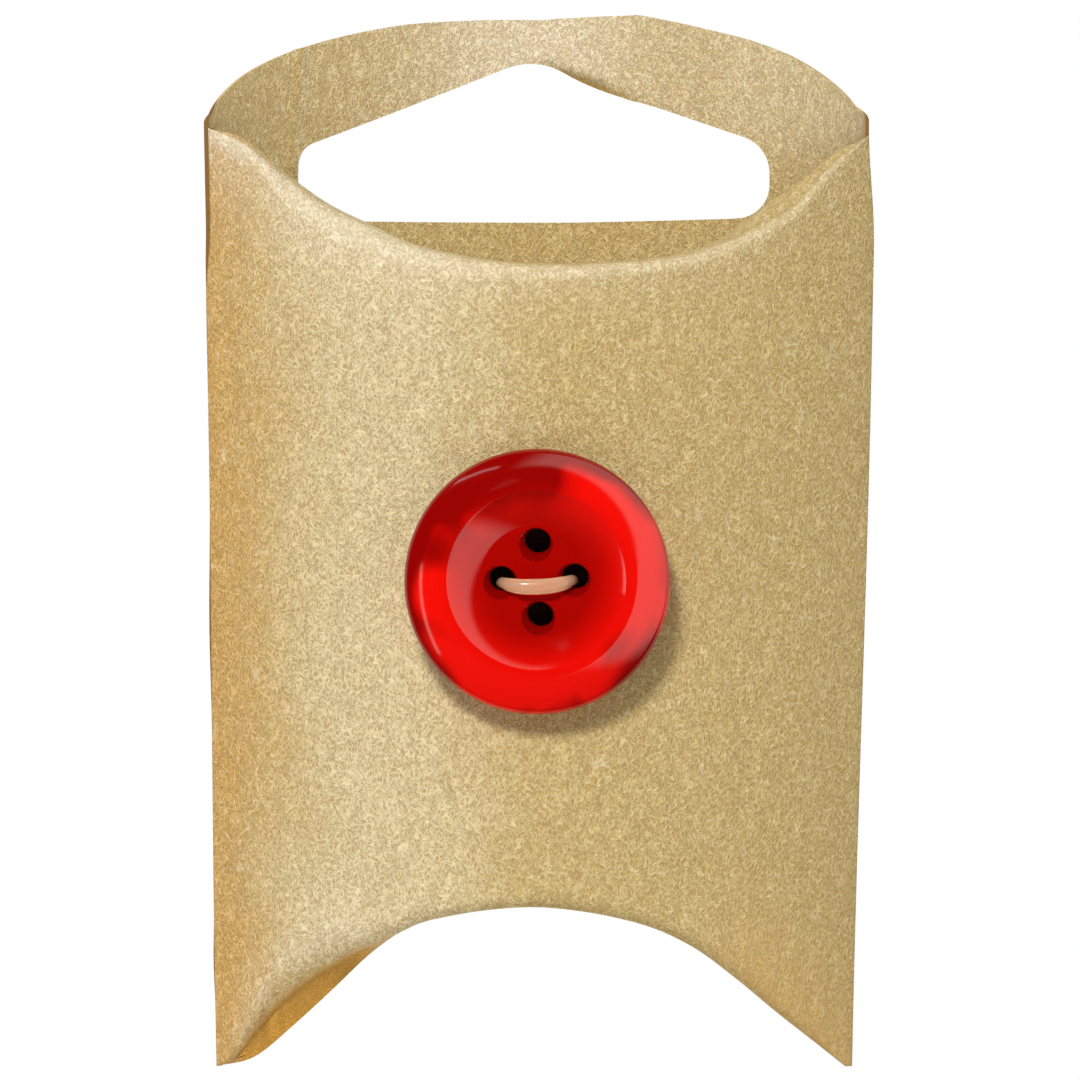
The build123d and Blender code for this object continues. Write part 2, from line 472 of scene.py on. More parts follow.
@dataclass(frozen=True)
class CutBoard:
    """Die-cut edge of the same board: dry pale core with plies along it, darkened with painted shade at the folds.

    A real ply is about 0.1 mm. They are drawn coarser, so that they show.
    """

    name: str = "kraft_board_die_cut"
    core: str = "E4D2A6"
    ply: str = "B08B4E"
    fold_shade: str = "6E4C1E"
    ply_spacing: float = 0.64
    unshaded_width: float = 28.3

    def build(self) -> bpy.types.Material:
        """Draws the plies as fine streaks, with painted shade at the folds.

        Returns:
            The material.
        """
        material, tree, shader = new_material(self.name, {"Roughness": 0.92, "Specular IOR Level": 0.2})
        place = add_node(tree, "TexCoord", out="Object")
        streak = add_node(tree, "TexNoise", {"Vector": place, "Scale": 1 / (self.ply_spacing * MM), "Detail": 3.0})
        # Painted shade: cut edges far out to each side, at the folds, are darkened.
        across = add_node(tree, "Math", {0: add_node(tree, "SeparateXYZ", {0: place})}, operation="ABSOLUTE")
        start, end = self.unshaded_width * MM, (self.unshaded_width + 0.5) * MM
        fold_shaded = add_node(tree, "MapRange", {"Value": across, "From Min": start, "From Max": end, "To Max": 0.85})
        body = add_node(tree, "RGB")
        body.default_value = linear(self.core)
        colour = layered(tree, body, [(self.ply, streak), (self.fold_shade, fold_shaded)])
        tree.links.new(colour, shader.inputs["Base Color"])
        return material


@dataclass(frozen=True)
class PearlPolyester:
    """Cast polyester, turned and tumble-polished: deep clear red with brighter pearl drawn out in it, painted light
    and shade over the rim, and wet gloss.

    Each drift is its place across and up, its reach and its gain in brightness, all as shares of the radius. The
    drifts, the lean and the verge paint light and shade over the pearl.
    """

    name: str = "polyester_cast_polished"
    # The deep red is both the pearl's darker bands and the painted shade.
    deep: str = "8C0200"
    body: str = "A20400"
    pearl: str = "EA0D05"
    pearl_spacing: float = 9.0
    radius: float = 11.5
    # The lean sets the slope of the painted light across the rim, and the verge sets the painted shade at its outer
    # edge.
    lean: tuple[float, float] = (0.1, -0.22)
    verge: float = -0.42
    pearl_and_light_drifts: tuple[tuple[float, float, float, float], ...] = (
        (0.02, 0.76, 0.24, -0.5),
        (-0.7, 0.66, 0.26, -0.45),
        (0.62, -0.5, 0.42, -0.32),
        (-0.82, -0.05, 0.3, 0.4),
        (-0.35, -0.78, 0.4, 0.4),
    )

    def build(self, centre: np.ndarray) -> bpy.types.Material:
        """Draws the pearl of the rim with deeper bands drifting through it, painted light and shade by place with a
        darker outer edge, and a plain dish.

        Args:
            centre: middle of the button's back, in metres.

        Returns:
            The material.
        """
        material, tree, shader = new_material(self.name, {"Roughness": 0.09, "IOR": 1.54})
        radius = self.radius * MM
        place = add_node(tree, "TexCoord", out="Object")
        local = add_node(tree, "VectorMath", {0: place, 1: tuple(centre.tolist())}, operation="SUBTRACT")
        flat = add_node(tree, "VectorMath", {0: local, 1: (1.0, 0.0, 1.0)}, operation="MULTIPLY")
        reach = add_node(tree, "VectorMath", {0: flat}, "Value", operation="LENGTH")
        rim = {"Value": reach, "From Min": 0.35 * radius, "From Max": 0.8 * radius}
        outer = add_node(tree, "MapRange", rim, interpolation_type=SOFT)
        slope = (self.lean[0] / radius, 0.0, self.lean[1] / radius)
        tone = add_node(tree, "VectorMath", {0: local, 1: slope}, "Value", operation="DOT_PRODUCT")
        # Painted shade at the outer edge, then painted light and shade from the drifts.
        edge = {"Value": reach, "From Min": 0.86 * radius, "From Max": radius, "To Max": self.verge}
        gains = [add_node(tree, "MapRange", edge)]
        for across, up, wide, gain in self.pearl_and_light_drifts:
            heart = (across * radius, 0.0, up * radius)
            away = add_node(tree, "VectorMath", {0: flat, 1: heart}, "Value", operation="DISTANCE")
            blot = {"Value": away, "From Min": wide * radius, "From Max": 0.0, "To Max": gain}
            gains.append(add_node(tree, "MapRange", blot, interpolation_type=SOFT))
        for gain in gains:
            tone = add_node(tree, "Math", {0: tone, 1: gain}, operation="ADD")
        scale = 1 / (self.pearl_spacing * MM)
        bands = add_node(tree, "TexNoise", {"Vector": local, "Scale": scale, "Detail": 1.5, "Distortion": 0.9})
        tone = add_node(tree, "Math", {0: bands, 1: 1.3, 2: tone}, operation="MULTIPLY_ADD")
        dull = {"Value": tone, "From Min": 0.66, "From Max": 0.26}
        shaded = add_node(tree, "MapRange", dull, interpolation_type=SOFT)
        shaded = add_node(tree, "Math", {0: shaded, 1: outer}, operation="MULTIPLY")
        body = add_node(tree, "RGB")
        body.default_value = linear(self.body)
        colour = layered(tree, body, [(self.pearl, outer), (self.deep, shaded)])
        tree.links.new(colour, shader.inputs["Base Color"])
        return material


@dataclass(frozen=True)
class DrilledPolyester:
    """The same polyester where it was drilled: unpolished and dull, and a dark red that paints the shade in the bores.
    """

    name: str = "polyester_cast_drilled"
    # Painted shade: the bores' dark red.
    body: str = "7C0200"

    def build(self) -> bpy.types.Material:
        """Sets the one dull colour, dark with painted shade."""
        values = {"Base Color": linear(self.body), "Roughness": 0.9, "Specular IOR Level": 0.08}
        return new_material(self.name, values)[0]


@dataclass(frozen=True)
class MouldedClear:
    """Polypropylene, injection-moulded: milky clear, with a soft shine that a faint haze makes uneven.

    The real haze is too fine to see, so it is drawn coarser.
    """

    name: str = "polypropylene_moulded_clear"
    body: str = "FFD6B2"
    haze_spacing: float = 0.35

    def build(self) -> bpy.types.Material:
        """Draws a faint haze that makes the shine uneven.

        Returns:
            The material.
        """
        values = {"Base Color": linear(self.body), "IOR": 1.49, "Transmission Weight": 0.66}
        material, tree, shader = new_material(self.name, values)
        place = add_node(tree, "TexCoord", out="Object")
        haze = add_node(tree, "TexNoise", {"Vector": place, "Scale": 1 / (self.haze_spacing * MM), "Detail": 2.0})
        rough = add_node(tree, "MapRange", {"Value": haze, "To Min": 0.1, "To Max": 0.26})
        tree.links.new(rough, shader.inputs["Roughness"])
        return material


@dataclass(frozen=True)
class HandlingAndLight:
    """What folding and handling have done to this one card: play at its folds, bends and wear, with painted highlights
    and painted shade laid on the sheet.

    Places are shares across, levels in millimetres, or turns of a roll from 0 at its start to 1 at its end.
    """

    offset: float = -0.5
    lean: Ramp = Ramp(0.45, 5.0, 62.0)
    drawn_in: Ramp = Ramp(-0.66, 74.0, 85.0)
    seam_open: Ramp = Ramp(0.5, 69.0, 76.0)
    seam_short: Ramp = Ramp(-0.1, 72.0, 76.0)
    seam_proud: tuple[Bell, ...] = (Bell(0.18, 41.0, 7.0), Bell(0.12, 11.0, 3.0))
    swell: float = 0.35
    right_swell: Bell = Bell(1.5, 0.72, 0.13)
    swell_ends: Ramp = Ramp(1.0, 1.0, 0.9)
    # The top roll's rub is partly real rubbing and partly painted highlight. The left and corner parts add more
    # painted highlight.
    rub_and_highlight_turn: float = 0.62
    rub_and_highlight_width: float = 0.42
    rub_and_highlight_taper: float = -0.1
    rub_and_highlight_ends: Ramp = Ramp(1.0, 1.0, 0.99)
    rub_and_highlight: float = 0.74
    rub_and_highlight_slope: float = -0.22
    left_rub_and_highlight: Ramp = Ramp(0.22, -0.3, -0.8)
    corner_rub_and_highlight: Ramp = Ramp(1.5, 2.5, 0.6)
    corner_place: Ramp = Ramp(1.0, -0.62, -0.86)
    corner_turn: float = 0.45
    # Painted highlight on the ridge of the slack bottom roll.
    ridge_highlight: Bell = Bell(0.45, 0.2, 0.35)
    # Painted shade under the bottom roll, more where the flap is slack.
    under_shade: float = 0.5
    slack_shade: float = 0.8
    under_turn: Ramp = Ramp(1.0, 0.55, 1.143)
    # Painted shade on the bottom roll's underside at the lower right.
    fold_shade: Bell = Bell(0.5, 0.3, 0.6)
    fold_shade_place: Ramp = Ramp(1.0, 0.45, 0.75)
    curl_in: Bell = Bell(1.0, 0.0, 0.4)
    curl_across: Bell = Bell(1.0, 4.5, 3.2)
    curl_above: float = 6.0
    curl_back: float = 0.9
    # Painted shade along the curl of the hole's edge.
    curl_shade: float = 1.9
    kinks: tuple[Bell, ...] = (Bell(-0.5, 0.3, 0.2), Bell(-0.3, -0.42, 0.2))
    kinks_above: Ramp = Ramp(1.0, 80.0, 90.0)
    wrinkle_share: float = -0.735
    wrinkle_level: float = 87.0
    wrinkle_lean: float = 0.004
    wrinkle_wave: float = 0.004
    wrinkle_turn: float = 1.3
    crimp: Bell = Bell(-0.2, 0.0, 0.014)
    # Painted light on the tab, most in its middle and towards the right.
    painted_light: float = 0.16
    middle_painted_light: Bell = Bell(1.0, -0.03, 0.36)
    right_painted_light: Ramp = Ramp(0.38, 0.3, 0.7)
    painted_light_above: Ramp = Ramp(1.0, 78.0, 86.0)
    # Painted highlight beside the wrinkle and painted shade in its line.
    wrinkle_light_and_shade: tuple[Bell, ...] = (Bell(0.3, 0.016, 0.01), Bell(-0.45, 0.0, 0.006))
    wrinkle_light_above: Ramp = Ramp(1.0, 80.0, 83.0)


@dataclass
class PillowCard:
    """The folded kraft sheet: a bowed front, a bowed back with the hang tab, and tucked end flaps.

    Lengths are in millimetres. Levels count up from the base, shares count across from the middle to a fold. The
    creases are heights at eighths from the middle to each fold. Slack and rolls are shares and what each has there.
    """

    board: float = 0.5
    base: float = -90.65
    fold_depth: float = -9.596
    body_height: float = 85.4
    top_width: float = 59.5
    bottom_width: float = 56.0
    top_bow: float = 10.0
    bottom_bow: float = 12.5
    fold_radius: float = 0.33
    seam_share: float = -0.9992
    layer_gap: float = 0.8
    flap_clearance: float = 1.7
    flap_taper: float = 1.05
    flap_end: float = 0.95
    flap_least: float = 0.02
    top_crease: tuple[float, ...] = (
        84.5, 83.0, 80.0, 77.4, 75.6, 73.9, 73.0, 72.4, 72.15, 72.15, 72.4, 72.8, 73.7, 75.3, 77.45, 81.3, 83.9,
    )
    low_crease: tuple[float, ...] = (
        1.75, 2.7, 5.55, 8.8, 12.15, 14.52, 15.5, 16.05, 16.25, 15.95, 15.3, 14.25, 12.45, 9.8, 6.85, 4.05, 1.25,
    )
    tip_level: float = 1.75
    slack_shares: tuple[float, ...] = (-1, -0.965, -0.935, -0.9, -0.855, -0.735, -0.585, -0.47, -0.4, 1)
    slack_lifts: tuple[float, ...] = (0, 0.1, 0.8, 2.4, 3.9, 4.6, 2.7, 0.45, 0, 0)
    slack_start: float = 0.14
    slack_reach: float = 0.625
    slack_full: float = 2.0
    top_roll_shares: tuple[float, ...] = (-1, -0.7, -0.3, 0, 0.3, 0.7, 1)
    top_roll_radii: tuple[float, ...] = (2, 3.0, 2.2, 1.6, 1.4, 1.5, 1)
    low_roll_shares: tuple[float, ...] = (-1, -0.7, -0.35, 0, 0.4, 0.75, 1)
    low_roll_radii: tuple[float, ...] = (2, 2.8, 1.6, 1.3, 1.4, 1.8, 1)
    back_roll: float = 1.6
    roll_limit: float = 0.4
    split: float = 74.0
    shoulder: float = 85.1
    tab_arch: float = 9.7
    cut_angles: tuple[float, ...] = (
        0, 0.29, 0.5, 0.72, 0.9, 1.05, 1.19, 1.27, 1.32, 1.57, 1.82, 1.98, 2.09, 2.42, 2.64, 2.85, 2.97, 3.14,
    )
    cut_errors: tuple[float, ...] = (
        0, -1.45, -0.95, -0.3, 0.02, 0.18, 0.46, 0.66, 0.44, -0.18, 0.0, 0.14, 0.1, -0.1, -0.35, -0.8, -1.05, -0.3,
    )
    sill: float = 76.55
    sill_bend: float = 3.0
    sill_rise: float = 0.27
    hole_width: float = 42.35
    hole_height: float = 14.05
    hole_slope: float = 21.7
    hole_apex_radius: float = 9.5
    hole_shift: float = -0.47
    hole_bend: float = 8.2
    hole_right_slopes: tuple[float, float] = (0.43, 0.352)
    hole_radii: tuple[float, ...] = (2.6, 40.0, 3.0, 3.4, 14.0, 7.0, 2.2)
    hole_heart: float = 3.5
    arc_radius: float = 31.0
    lap_width: float = 11.0
    lap_setback: float = 18.0
    lap_start: float = -0.955
    lap_level: float = 40.0
    lap_gap: float = 0.02
    back_shift: float = 150.0
    lap_shift: float = 90.0
    handling_and_light: HandlingAndLight = HandlingAndLight()
    columns: int = 140
    panel_rows: int = 56
    roll_rows: int = 14
    flap_rows: int = 8
    ring_rows: int = 40
    side_rows: int = 25
    arch_columns: int = 360
    hole_columns: int = 2400
    corner_columns: int = 24
    lap_columns: int = 16
    lap_rows: int = 40

    def __post_init__(self) -> None:
        """Lays out the columns, closer towards the folds, and the scored lines with their slack and rolls."""
        self.share = np.sin(np.linspace(-np.pi / 2, np.pi / 2, self.columns + 1))
        eighths = np.linspace(-1, 1, len(self.top_crease))
        self.top_line = self.drawn(eighths, self.top_crease)
        self.low_lift = np.maximum(self.drawn(self.slack_shares, self.slack_lifts), 0)
        self.low_line = np.maximum(self.drawn(eighths, self.low_crease), self.tip_level) + self.low_lift
        self.top_roll = self.drawn(self.top_roll_shares, self.top_roll_radii)
        self.low_roll = self.drawn(self.low_roll_shares, self.low_roll_radii)
        self.back_share = np.maximum(self.share, self.seam_share)

    def drawn(self, shares: np.ndarray | tuple[float, ...], heights: tuple[float, ...]) -> np.ndarray:
        """Heights at the columns of a smooth line through heights at shares."""
        return spline(self.share, np.array(shares), np.array(heights))

    def along(self, low: float, high: float, level: np.ndarray) -> np.ndarray:
        """Blends a size from the base to the top of the body."""
        return low + (high - low) * level / self.body_height

    def half_width(self, level: np.ndarray) -> np.ndarray:
        """Half the width between the folds at a level."""
        return self.along(self.bottom_width, self.top_width, level) / 2

    def middle(self, level: np.ndarray) -> np.ndarray:
        """Sideways place of the middle: the body leans a little to the left towards the base."""
        return self.handling_and_light.offset + self.handling_and_light.lean.at(level)

    def bowed(self, share: np.ndarray, level: np.ndarray) -> np.ndarray:
        """Height of a panel over the fold plane: an arc whose ends are blunted to the fold's radius.

        The arc's height f becomes the root of f squared plus twice the radius times f, brought back to the bow.

        Args:
            share: place across, from -1 to 1.
            level: height above the base.

        Returns:
            The distance from the fold plane.
        """
        wide = self.half_width(level)
        bow = self.along(self.bottom_bow, self.top_bow, level)
        radius = (wide**2 + bow**2) / (2 * bow)
        arc = np.sqrt(np.maximum(radius**2 - (share * wide) ** 2, 0)) - (radius - bow)
        arc = np.maximum(arc, 0)
        blunt = np.sqrt(arc**2 + 2 * self.fold_radius * arc)
        return blunt * bow / np.sqrt(bow**2 + 2 * self.fold_radius * bow)

    def edge_shift(self, side: Side, share: np.ndarray, level: np.ndarray) -> np.ndarray:
        """Sideways play of the folds: both draw in at the upper right, and the back stands proud of the left seam.

        The play dies away from a fold with a high power of the share.

        Args:
            side: the panel.
            share: place across.
            level: height above the base.

        Returns:
            Millimetres to the right.
        """
        drawn_in = self.handling_and_light.drawn_in.at(level) * np.maximum(share, 0) ** 6
        to_left = np.maximum(-share, 0)
        if side is Side.FRONT:
            return drawn_in + self.handling_and_light.seam_open.at(level) * to_left**6
        proud = self.handling_and_light.seam_short.at(level) + sum(bell.at(level) for bell in self.handling_and_light.seam_proud)
        return drawn_in - proud * to_left**24

    def place(self, side: Side, share: np.ndarray, level: np.ndarray, depth: np.ndarray) -> np.ndarray:
        """Turns share, level and depth behind the panel's face into points.

        Args:
            side: the panel.
            share: place across.
            level: height above the base.
            depth: distance in from the panel's face.

        Returns:
            Points in millimetres.
        """
        x = self.middle(level) + share * self.half_width(level) + self.edge_shift(side, share, level)
        y = self.fold_depth + side.value * (self.bowed(share, level) - depth)
        return np.stack([x, y, self.base + level], axis=-1)

    def flap_length(self, share: np.ndarray, level: np.ndarray) -> np.ndarray:
        """Length of a tucked flap behind its crease, out to the other panel less its clearance.

        Args:
            share: place across.
            level: height of the crease above the base.

        Returns:
            The length at each place.
        """
        reach = np.maximum(self.bowed(share * self.flap_taper, level) - self.flap_clearance, 0)
        tuck = np.where(np.abs(share) < self.flap_end, reach, 0)
        return np.maximum(self.bowed(share, level) + tuck, self.flap_least)

    def front(self) -> Patch:
        """Front panel from the top flap's free edge over both rolls to the bottom flap's free edge.

        Across it is the bowed arc. Down each column the flap runs level with a slight swell, the roll is a quarter
        circle of that column's radius and the panel runs straight. The slack lower flap sags by half a sine.

        Returns:
            The front as one grid.
        """
        share = self.share
        top_length = self.flap_length(share, self.top_line)
        low_length = self.flap_length(share, self.low_line)
        top_roll = np.minimum(self.top_roll, self.roll_limit * top_length)
        low_roll = np.minimum(self.low_roll, self.roll_limit * low_length)
        out = np.linspace(1, 0, self.flap_rows + 1)[:-1, None]
        turn = np.linspace(0, np.pi / 2, self.roll_rows + 1)[:, None]
        down = np.linspace(0, 1, self.panel_rows + 1)[1:-1, None]
        tail = out[::-1]
        swell = self.handling_and_light.swell + self.handling_and_light.right_swell.at(share)
        swell = swell * self.handling_and_light.swell_ends.at(np.abs(share))
        start = self.top_line - top_roll
        panel_level = start + (self.low_line + low_roll - start) * down
        sag = np.sin(np.pi * self.slack_start) * (turn / turn[-1]) ** 1.4
        swing = self.slack_start + (1 - self.slack_start) * np.clip(tail / self.slack_reach, 0, 1) ** 0.6
        level = np.concatenate([
            self.top_line + swell * np.sin(np.pi * out) ** 0.8,
            self.top_line - top_roll * (1 - np.cos(turn)),
            panel_level,
            self.low_line + low_roll * (1 - np.sin(turn)) - self.low_lift * sag,
            self.low_line - self.low_lift * np.sin(np.pi * swing),
        ])
        depth = np.concatenate([
            top_roll + (top_length - top_roll) * out,
            top_roll * (1 - np.sin(turn)),
            np.zeros_like(panel_level),
            low_roll * (1 - np.cos(turn)),
            low_roll + (low_length - low_roll) * tail,
        ])
        spread = np.broadcast_to(share, level.shape)
        points = self.place(Side.FRONT, spread, level, depth)
        return Patch(points, self.flat_sheet(points, 0.0), self.front_wear_and_light(spread, level), flipped=True)

    def front_wear_and_light(self, share: np.ndarray, level: np.ndarray) -> np.ndarray:
        """Wear of the front: the top roll rubbed pale and given a painted highlight, most at the left, a painted
        highlight on the bottom roll's ridge, and painted shade under the bottom roll and at its lower right.

        Each mark is a bell or a ramp over the turn of a roll, scaled by one over the shares.

        Args:
            share: places across, rows by columns.
            level: heights above the base.

        Returns:
            The wear.
        """
        marks = self.handling_and_light
        turned = (np.arange(len(level))[:, None] - self.flap_rows) / self.roll_rows
        low_turned = turned - 1 - self.panel_rows / self.roll_rows
        # Rubbed pale and painted highlight along the top roll, more at the left and at the corner.
        rubbed_and_lit = Bell(1.0, marks.rub_and_highlight_turn, marks.rub_and_highlight_width + marks.rub_and_highlight_taper * share).at(turned)
        rubbed_and_lit *= marks.rub_and_highlight_ends.at(np.abs(share)) * (marks.rub_and_highlight + marks.rub_and_highlight_slope * share + marks.left_rub_and_highlight.at(share))
        corner = marks.corner_rub_and_highlight.at(self.top_line - level) * marks.corner_place.at(share)
        corner *= turned > marks.corner_turn
        slack = np.minimum(self.low_lift / self.slack_full, 1)
        # Painted highlight on the bottom roll's ridge where the flap is slack.
        ridge = slack * marks.ridge_highlight.at(low_turned)
        # Painted shade on the underside of the bottom roll.
        under = (marks.under_shade + marks.slack_shade * slack) * marks.under_turn.at(low_turned)
        # Painted shade on the bottom roll's underside at the lower right.
        fold_shade = marks.fold_shade.at(low_turned) * marks.fold_shade_place.at(share)
        return np.maximum(rubbed_and_lit, corner) + ridge - under - fold_shade

    def flat_sheet(self, points: np.ndarray, shift: float) -> np.ndarray:
        """Sheet coordinates of a grid: arc length across, and length run along each column.

        Args:
            points: the grid.
            shift: offset across that sets this panel apart.

        Returns:
            Millimetres on the flat sheet.
        """
        across = np.linalg.norm(np.diff(points, axis=1), axis=-1)
        middle = points.shape[0] // 2
        run = np.concatenate([[0], np.cumsum(across[middle])])
        u = np.broadcast_to(run - run[len(run) // 2] + shift, points.shape[:2])
        along = np.linalg.norm(np.diff(points, axis=0), axis=-1)
        v = np.concatenate([np.zeros((1, points.shape[1])), np.cumsum(along, axis=0)])
        v = v[middle] - v + points[middle, :, 2] - self.base
        return np.stack([u, v], axis=-1)

    def back(self) -> Patch:
        """Back panel from the split under the hang hole down over its roll to the inner bottom flap's free edge.

        Down each column the panel runs straight, the roll is a quarter circle and the flap runs level.

        Returns:
            The back's body as one grid.
        """
        share = self.back_share
        low_line = spline(share, self.share, self.low_line) + self.layer_gap
        length = self.flap_length(share, low_line)
        roll = np.minimum(self.back_roll, self.roll_limit * length)
        down = np.linspace(0, 1, self.panel_rows)[:-1, None]
        turn = np.linspace(0, np.pi / 2, self.roll_rows + 1)[:, None]
        out = np.linspace(0, 1, self.flap_rows + 1)[1:, None]
        panel_level = self.split + (low_line + roll - self.split) * down
        level = np.concatenate([panel_level, low_line + roll * (1 - np.sin(turn)), low_line + 0 * out])
        depth = np.concatenate([0 * panel_level, roll * (1 - np.cos(turn)), roll + (length - roll) * out])
        points = self.place(Side.BACK, np.broadcast_to(share, level.shape), level, depth)
        return Patch(points, self.flat_sheet(points, self.back_shift), np.zeros(level.shape))

    def hole_outline(self) -> np.ndarray:
        """Outline of the hang hole: a bent pentagon with each corner turned by an arc of its own radius.

        Returns:
            Places across and levels, anticlockwise.
        """
        left, right = self.hole_shift - self.hole_width / 2, self.hole_shift + self.hole_width / 2
        rise = math.tan(math.radians(self.hole_slope))
        peak = self.sill + self.hole_height + self.hole_apex_radius * (math.hypot(1, rise) - 1)
        bent = peak - self.hole_right_slopes[0] * (self.hole_bend - self.hole_shift)
        corners = np.array([
            (left, self.sill),
            (self.sill_bend, self.sill),
            (right, self.sill + self.sill_rise),
            (right, bent - self.hole_right_slopes[1] * (right - self.hole_bend)),
            (self.hole_bend, bent),
            (self.hole_shift, peak),
            (left, peak - self.hole_width / 2 * rise),
        ])
        radii = np.array(self.hole_radii)
        before = np.roll(corners, 1, axis=0) - corners
        after = np.roll(corners, -1, axis=0) - corners
        before /= np.linalg.norm(before, axis=1, keepdims=True)
        after /= np.linalg.norm(after, axis=1, keepdims=True)
        half = np.arccos(np.clip((before * after).sum(1), -1, 1)) / 2
        bisector = (before + after) / np.linalg.norm(before + after, axis=1, keepdims=True)
        centres = corners + bisector * (radii / np.sin(half))[:, None]
        sweep = np.linspace(-1, 1, self.corner_columns + 1)[:, None] * (np.pi / 2 - half)
        arcs = centres + radii[:, None] * ray_of(bearing_of(-bisector) + sweep)
        return along_outline(arcs.transpose(1, 0, 2).reshape(-1, 2), self.hole_columns)

    def tab(self) -> Patch:
        """Hang tab and the sheet round its hole: straight lines from the hole's outline out to the tab's outline.

        The tab's arch is an ellipse with the real cut's errors. The hole's edge curls back beside its peak, and
        painted shade darkens that curl.

        Returns:
            The tab as one closed ring.
        """
        share = self.back_share
        rise = np.linspace(0, 1, self.side_rows + 1)[1:-1]
        upright = self.split + (self.shoulder - self.split) * rise
        around = np.linspace(0, np.pi, self.arch_columns + 1)
        arch = self.shoulder + self.tab_arch * np.sin(around) + np.interp(around, self.cut_angles, self.cut_errors)
        edge_share = np.concatenate([share, np.ones_like(rise), np.cos(around), np.full_like(rise, share[0])])
        edge_share = np.maximum(edge_share, share[0])
        edge_level = np.concatenate([np.full_like(share, self.split), upright, arch, upright[::-1]])
        edge = np.stack([edge_share * self.half_width(edge_level), edge_level], axis=-1)
        heart = np.array([0.0, self.sill + self.hole_heart])
        hole = self.hole_outline() - heart
        bearing = bearing_of(hole)
        order = np.argsort(bearing)
        wanted = bearing_of(edge - heart)
        reach = np.interp(wanted, bearing[order], np.linalg.norm(hole, axis=1)[order], period=2 * np.pi)
        inner = heart + reach[:, None] * ray_of(wanted)
        out = np.sin(np.linspace(0, np.pi / 2, self.ring_rows + 1))[:, None, None]
        flat = inner + (edge - inner) * out
        level = flat[..., 1]
        spread = flat[..., 0] / self.half_width(level)
        points = self.place(Side.BACK, spread, level, np.zeros_like(level))
        inset = np.linalg.norm(flat - inner, axis=-1)
        marks = self.handling_and_light
        # The curl bends the hole's edge back, and the same curl paints shade along it.
        curl = marks.curl_in.at(inset) * marks.curl_across.at(flat[..., 0]) * (level > self.sill + marks.curl_above)
        points[..., 1] += self.tab_play(spread, level) + marks.curl_back * curl
        sheet = np.stack([np.arcsin(np.clip(spread, -1, 1)) * self.arc_radius + self.back_shift, level], axis=-1)
        return Patch(points, sheet, self.tab_painted_light(spread, level) - marks.curl_shade * curl, closed=True)

    def tab_play(self, share: np.ndarray, level: np.ndarray) -> np.ndarray:
        """Soft bends in the tab, as handling leaves them: two upright kinks that flatten the middle, and a wrinkle.

        Args:
            share: place across.
            level: height above the base.

        Returns:
            Millimetres to the back.
        """
        bent = sum(kink.at(share) for kink in self.handling_and_light.kinks)
        crimp = self.handling_and_light.crimp.at(self.from_wrinkle(share, level))
        return self.handling_and_light.kinks_above.at(level) * bent + crimp

    def from_wrinkle(self, share: np.ndarray, level: np.ndarray) -> np.ndarray:
        """Shares across from the tab's pressed wrinkle: a leaning upright line with a small sine along it.

        Args:
            share: place across.
            level: height above the base.

        Returns:
            Shares to the right of the wrinkle.
        """
        marks = self.handling_and_light
        wave = marks.wrinkle_wave * np.sin(level * marks.wrinkle_turn)
        return share - marks.wrinkle_share - marks.wrinkle_lean * (level - marks.wrinkle_level) - wave

    def tab_painted_light(self, share: np.ndarray, level: np.ndarray) -> np.ndarray:
        """Painted light on the tab: paler most in its middle and towards the right, with a painted highlight along the
        wrinkle's right side and painted shade in its line.

        Args:
            share: place across.
            level: height above the base.

        Returns:
            The wear.
        """
        marks = self.handling_and_light
        # Painted light paling the tab, and a painted highlight and shade at the wrinkle.
        tab_lit = marks.painted_light + marks.middle_painted_light.at(share) + marks.right_painted_light.at(share)
        wrinkle_light_and_shade = sum(bell.at(self.from_wrinkle(share, level)) for bell in marks.wrinkle_light_and_shade)
        return tab_lit * marks.painted_light_above.at(level) + wrinkle_light_and_shade * marks.wrinkle_light_above.at(level)

    def lap(self) -> Patch:
        """Glue lap behind the left seam: a strip inside the back, bowed as the back is.

        Returns:
            The lap as one grid.
        """
        lap_end = -1 + self.lap_width / self.half_width(np.array(self.lap_level))
        across = np.linspace(self.lap_start, lap_end, self.lap_columns + 1)
        height = np.linspace(self.body_height - self.lap_setback, self.lap_setback, self.lap_rows + 1)
        spread, level = np.meshgrid(across, height)
        points = self.place(Side.BACK, spread, level, np.full(spread.shape, self.board + self.lap_gap))
        return Patch(points, self.flat_sheet(points, self.lap_shift), np.zeros(spread.shape))

    def trim(self, card: bpy.types.Object) -> None:
        """Draws points that the board's thickness pushed past a fold or a tip back to the sheet's own outline.

        Args:
            card: the folded sheet.
        """
        points = np.empty(len(card.data.vertices) * 3, dtype=np.float32)
        card.data.vertices.foreach_get("co", points)
        points = points.reshape(-1, 3) / MM
        level = np.clip(points[:, 2] - self.base, self.low_line.min(), None)
        ends = [self.place(Side.BACK, np.full_like(level, end), level, np.zeros_like(level))[:, 0] for end in (-1, 1)]
        points[:, 0] = np.clip(points[:, 0], *ends)
        points[:, 2] = self.base + level
        card.data.vertices.foreach_set("co", (points * MM).astype(np.float32).ravel())
        card.data.update()

    def build(self) -> bpy.types.Object:
        """Joins the panels into the folded sheet, gives it its board and dresses it.

        Returns:
            The card.
        """
        card = mesh_of("folded_card", [self.front(), self.back(), self.tab(), self.lap()], 1e-6)
        card.data.materials.append(KraftBoard().build())
        card.data.materials.append(CutBoard().build())
        thicken(card, self.board * MM, Finish.WORKED.value)
        self.trim(card)
        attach(card, "root")
        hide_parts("card")
        return card


